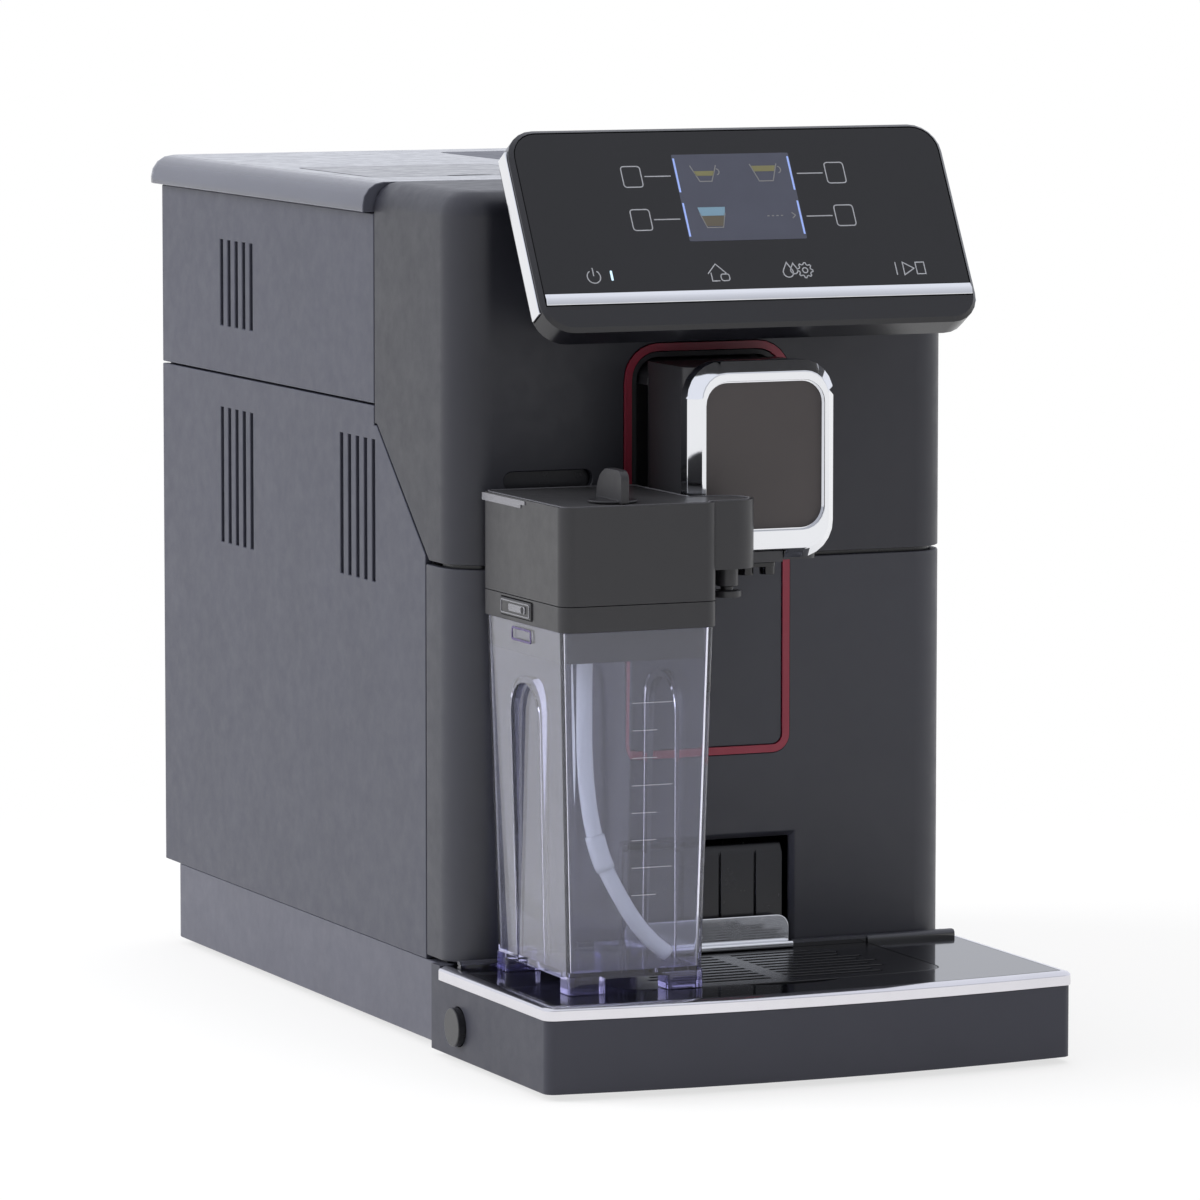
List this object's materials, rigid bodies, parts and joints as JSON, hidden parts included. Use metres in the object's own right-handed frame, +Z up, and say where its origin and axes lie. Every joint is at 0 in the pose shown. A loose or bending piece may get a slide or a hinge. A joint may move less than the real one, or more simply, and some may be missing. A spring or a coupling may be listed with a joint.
{
  "type": "bean to cup coffee machine",
  "caption": "Bean to cup coffee machine with a tilted control panel, a sliding coffee spout, a pull-out drip tray and a clear milk carafe with a frothing lid.",
  "frame": {"origin": "on the ground, at the centre of the machine's outline seen from above", "axes": "+X to the right as seen from the front, +Y to the back, +Z up; the front faces -Y"},
  "size_m": [0.224, 0.4474, 0.3562],
  "materials": {
    "charcoal_plastic": "fine satin grain",
    "dark_plastic": "satin",
    "gloss_black": "polished",
    "chrome_trim": "polished plating",
    "red_plastic": "satin",
    "brown_plastic": "fine brushed",
    "clear_plastic": "clear with a violet tint at the edges",
    "smoked_plastic": "smoked, translucent",
    "silicone_hose": "translucent silicone",
    "carafe_grey": "satin",
    "foot_rubber": "matt",
    "bare_metal": "cast",
    "white_plastic": "plain",
    "screen_blue": "lit display"
  },
  "bodies": {
    "machine": {"base_plinth": "charcoal_plastic", "foot_front_left": "foot_rubber", "foot_front_right": "foot_rubber", "foot_rear_left": "foot_rubber", "foot_rear_right": "foot_rubber", "inner_frame": "dark_plastic", "side_panel_lower_left": "charcoal_plastic", "side_panel_lower_right": "charcoal_plastic", "side_panel_upper_left": "charcoal_plastic", "side_panel_upper_right": "charcoal_plastic", "rear_panel": "charcoal_plastic", "top_cover": "charcoal_plastic", "upper_front_shell": "charcoal_plastic", "lower_front_panel": "charcoal_plastic", "red_frame": "red_plastic", "spout_channel": "gloss_black", "steam_outlet": "foot_rubber", "console_body": "dark_plastic", "control_housing": "dark_plastic", "control_glass": "gloss_black", "control_bar": "chrome_trim", "control_side_trim_left": "chrome_trim", "control_side_trim_right": "chrome_trim", "display_screen": "screen_blue", "bean_hopper": "smoked_plastic", "grinder_case": "bare_metal", "brew_group": "dark_plastic", "boiler": "bare_metal", "water_pump": "bare_metal", "power_inlet": "dark_plastic"},
    "spout": {"spout_head": "gloss_black", "spout_ring": "chrome_trim", "spout_plate": "brown_plastic", "coffee_nozzles": "gloss_black"},
    "tray": {"drip_tray": "charcoal_plastic", "tray_rim": "chrome_trim", "tray_cover": "gloss_black", "cup_grille": "gloss_black", "splash_plate": "chrome_trim", "grounds_drawer": "dark_plastic"},
    "tray_button_left": {"tray_button_left": "dark_plastic"},
    "tray_button_right": {"tray_button_right": "dark_plastic"},
    "tray_float": {"tray_float": "red_plastic"},
    "carafe": {"carafe_body": "clear_plastic"},
    "frothing_lid": {"carafe_collar": "carafe_grey", "carafe_lid": "carafe_grey", "carafe_top_plate": "dark_plastic", "milk_nozzle": "carafe_grey", "suction_hose": "silicone_hose"},
    "carafe_button_left": {"carafe_button_left": "carafe_grey"},
    "carafe_button_right": {"carafe_button_right": "carafe_grey"},
    "froth_lever": {"froth_lever": "carafe_grey"},
    "hopper_lid": {"hopper_lid": "smoked_plastic"},
    "grind_knob": {"grind_knob": "dark_plastic"},
    "grinder_burr": {"grinder_burr": "bare_metal"},
    "water_tank": {"water_tank": "smoked_plastic"},
    "tank_lid": {"tank_lid": "charcoal_plastic"},
    "service_door": {"service_door": "charcoal_plastic"},
    "brew_plunger": {"brew_plunger": "white_plastic"},
    "power_switch": {"power_switch": "gloss_black"}
  },
  "joints": [
    {"name": "spout_slide", "type": "slide", "parent": "machine", "child": "spout", "axis": [0, 0, 1], "range_m": [-0.065, 0]},
    {"name": "tray_slide", "type": "slide", "parent": "machine", "child": "tray", "axis": [0, -1, 0], "range_m": [0, 0.115]},
    {"name": "tray_button_left_press", "type": "slide", "parent": "tray", "child": "tray_button_left", "axis": [1, 0, 0], "range_m": [0, 0.0025], "stiffness_N_per_m": 400},
    {"name": "tray_button_right_press", "type": "slide", "parent": "tray", "child": "tray_button_right", "axis": [-1, 0, 0], "range_m": [0, 0.0025], "stiffness_N_per_m": 400},
    {"name": "tray_float_rise", "type": "slide", "parent": "tray", "child": "tray_float", "axis": [0, 0, 1], "range_m": [0, 0.004]},
    {"name": "carafe_slide", "type": "slide", "parent": "tray", "child": "carafe", "axis": [0, -1, 0], "range_m": [0, 0.09]},
    {"name": "lid_lift", "type": "slide", "parent": "carafe", "child": "frothing_lid", "axis": [0, 0, 1], "range_m": [0, 0.035]},
    {"name": "carafe_button_left_press", "type": "slide", "parent": "frothing_lid", "child": "carafe_button_left", "axis": [1, 0, 0], "range_m": [0, 0.0015], "stiffness_N_per_m": 400},
    {"name": "carafe_button_right_press", "type": "slide", "parent": "frothing_lid", "child": "carafe_button_right", "axis": [-1, 0, 0], "range_m": [0, 0.0015], "stiffness_N_per_m": 400},
    {"name": "froth_lever_turn", "type": "hinge", "parent": "frothing_lid", "child": "froth_lever", "pos_m": [-0.069, -0.18375, 0.2198], "axis": [0, 0, 1], "range_deg": [-45, 45]},
    {"name": "hopper_lid_hinge", "type": "hinge", "parent": "machine", "child": "hopper_lid", "pos_m": [-0.05, 0.0876, 0.3332], "axis": [-1, 0, 0], "range_deg": [0, 85]},
    {"name": "grind_knob_turn", "type": "hinge", "parent": "machine", "child": "grind_knob", "pos_m": [-0.05, 0.042, 0.29], "axis": [0, 0, 1], "range_deg": [-150, 150]},
    {"name": "burr_spin", "type": "hinge", "parent": "machine", "child": "grinder_burr", "pos_m": [-0.05, 0.042, 0.215], "axis": [0, 0, 1], "continuous": true},
    {"name": "tank_lift", "type": "slide", "parent": "machine", "child": "water_tank", "axis": [0, 0, 1], "range_m": [0, 0.295]},
    {"name": "tank_lid_hinge", "type": "hinge", "parent": "water_tank", "child": "tank_lid", "pos_m": [0.053, 0.1916, 0.3332], "axis": [-1, 0, 0], "range_deg": [0, 80]},
    {"name": "service_door_hinge", "type": "hinge", "parent": "machine", "child": "service_door", "pos_m": [0.1052, 0.0804, 0.141], "axis": [0, 0, 1], "range_deg": [0, 95]},
    {"name": "plunger_slide", "type": "slide", "parent": "machine", "child": "brew_plunger", "axis": [0, 0, 1], "range_m": [0, 0.04]},
    {"name": "power_switch_rock", "type": "hinge", "parent": "machine", "child": "power_switch", "pos_m": [-0.034, 0.20725, 0.062], "axis": [1, 0, 0], "range_deg": [-8, 8]}
  ]
}
